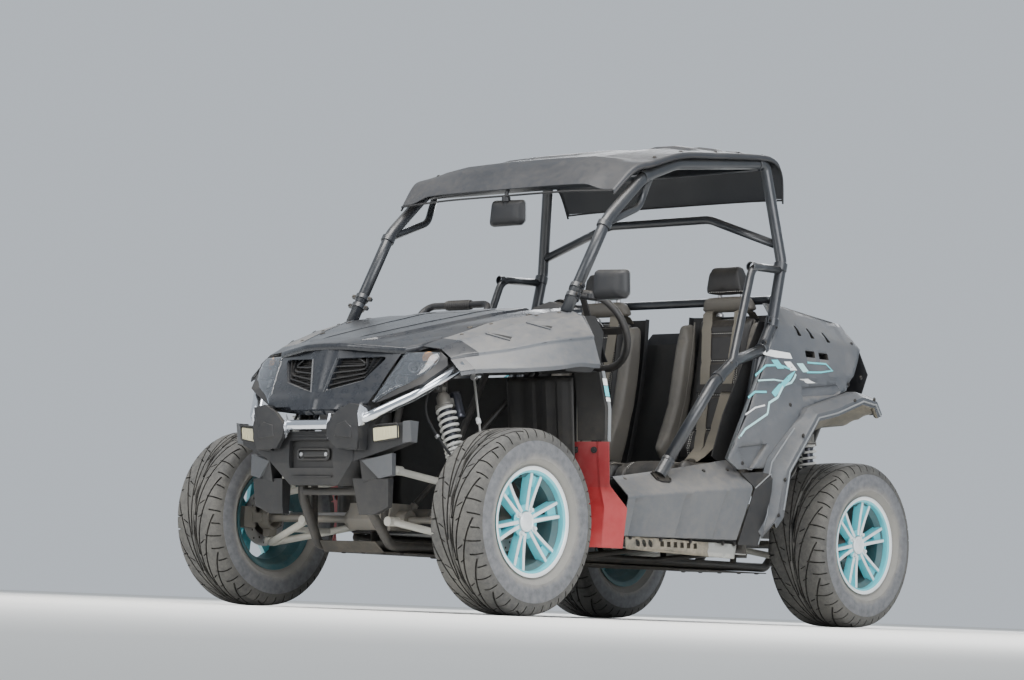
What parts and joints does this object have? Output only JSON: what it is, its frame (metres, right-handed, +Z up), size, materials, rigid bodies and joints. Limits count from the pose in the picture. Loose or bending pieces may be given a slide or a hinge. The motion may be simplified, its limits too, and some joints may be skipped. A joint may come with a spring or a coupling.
{
  "type": "two-seat open dune buggy",
  "caption": "Open two-seat off-road buggy with tube cage, moulded roof, bucket seats, double-wishbone suspension, cargo bed and steered front wheels on alloy rims.",
  "frame": {"origin": "on the ground, midway between the front and rear axles, on the centre line", "axes": "+X forward, +Y to the left (driver) side, +Z up"},
  "size_m": [2.866, 1.539, 1.858],
  "materials": {
    "frame": "satin",
    "cage": "satin",
    "chrome_bar": "polished",
    "grey_panel": "dusty matt",
    "dark_panel": "satin",
    "black_plastic": "matt",
    "cabin_plastic": "matt",
    "underside": "matt",
    "red_panel": "satin",
    "step_metal": "brushed",
    "lamp_lens": "clear",
    "red_lens": "gloss",
    "grip": "matt",
    "seat_cover": "satin",
    "cast": "cast",
    "arm_metal": "satin",
    "shock_metal": "satin",
    "tyre": "matt",
    "rim": "gloss"
  },
  "bodies": {
    "buggy_body": {"bumper_bar": "chrome_bar", "bumper_cover": "black_plastic", "bumper_lamps": "lamp_lens", "cabin_rear_trims": "cabin_plastic", "cage_cross_tubes": "cage", "cage_left": "cage", "cage_right": "cage", "cargo_bed": "cabin_plastic", "centre_mirror": "black_plastic", "chassis_frame": "frame", "dashboard": "cabin_plastic", "drive_units": "cast", "driver_seat": "seat_cover", "engine_block": "cast", "floor_pan": "cabin_plastic", "front_arms": "arm_metal", "front_fender_left": "grey_panel", "front_fender_right": "grey_panel", "front_shocks": "shock_metal", "front_side_panels": "cabin_plastic", "grab_handle": "grip", "grille_insets": "black_plastic", "headlamps": "lamp_lens", "hood": "dark_panel", "mud_guards": "red_panel", "muffler": "step_metal", "nose_panel": "dark_panel", "passenger_seat": "seat_cover", "rear_arms": "arm_metal", "rear_bumper": "frame", "rear_fenders": "grey_panel", "rear_firewall": "cabin_plastic", "rear_panel_left": "grey_panel", "rear_panel_right": "grey_panel", "rear_shocks": "shock_metal", "rocker_panels": "grey_panel", "rocker_tails": "grey_panel", "roof": "black_plastic", "side_bars": "cage", "side_mirror": "black_plastic", "side_steps": "step_metal", "skid_plate": "underside", "steering_column": "frame", "tail_lamps": "red_lens", "tail_panel": "grey_panel", "wheel_well_liners": "cabin_plastic"},
    "steering_wheel_body": {"steering_wheel": "grip"},
    "rack_bar": {"steering_rack": "shock_metal"},
    "upright_left": {"front_knuckle_left": "cast"},
    "upright_right": {"front_knuckle_right": "cast"},
    "wheel_front_left": {"tyre_front_left": "tyre", "rim_front_left": "rim"},
    "wheel_front_right": {"tyre_front_right": "tyre", "rim_front_right": "rim"},
    "wheel_rear_left": {"tyre_rear_left": "tyre", "rim_rear_left": "rim"},
    "wheel_rear_right": {"tyre_rear_right": "tyre", "rim_rear_right": "rim"}
  },
  "joints": [
    {"name": "steer_left", "type": "hinge", "parent": "buggy_body", "child": "upright_left", "pos_m": [1.02, 0.57, 0.33], "axis": [0, 0, 1], "range_deg": [-30, 30]},
    {"name": "steer_right", "type": "hinge", "parent": "buggy_body", "child": "upright_right", "pos_m": [1.02, -0.57, 0.33], "axis": [0, 0, 1], "range_deg": [-30, 30]},
    {"name": "rack_slide", "type": "slide", "parent": "buggy_body", "child": "rack_bar", "axis": [0, 1, 0], "range_m": [-0.0525, 0.0525]},
    {"name": "steering_wheel_turn", "type": "hinge", "parent": "buggy_body", "child": "steering_wheel_body", "pos_m": [0.235, 0.33, 1.085], "axis": [-0.8829, 0, 0.4695], "range_deg": [-271, 271]},
    {"name": "spin_front_left", "type": "hinge", "parent": "upright_left", "child": "wheel_front_left", "pos_m": [1.02, 0.6405, 0.33], "axis": [0, 1, 0], "continuous": true},
    {"name": "spin_front_right", "type": "hinge", "parent": "upright_right", "child": "wheel_front_right", "pos_m": [1.02, -0.6405, 0.33], "axis": [0, 1, 0], "continuous": true},
    {"name": "spin_rear_left", "type": "hinge", "parent": "buggy_body", "child": "wheel_rear_left", "pos_m": [-1.02, 0.6155, 0.33], "axis": [0, 1, 0], "continuous": true},
    {"name": "spin_rear_right", "type": "hinge", "parent": "buggy_body", "child": "wheel_rear_right", "pos_m": [-1.02, -0.6155, 0.33], "axis": [0, 1, 0], "continuous": true}
  ],
  "couplings": [
    {"joint": "steer_right", "follows": "steer_left", "ratio": 1},
    {"joint": "rack_slide", "follows": "steer_left", "m_per_rad": -0.1},
    {"joint": "steering_wheel_turn", "follows": "steer_left", "ratio": 9}
  ]
}
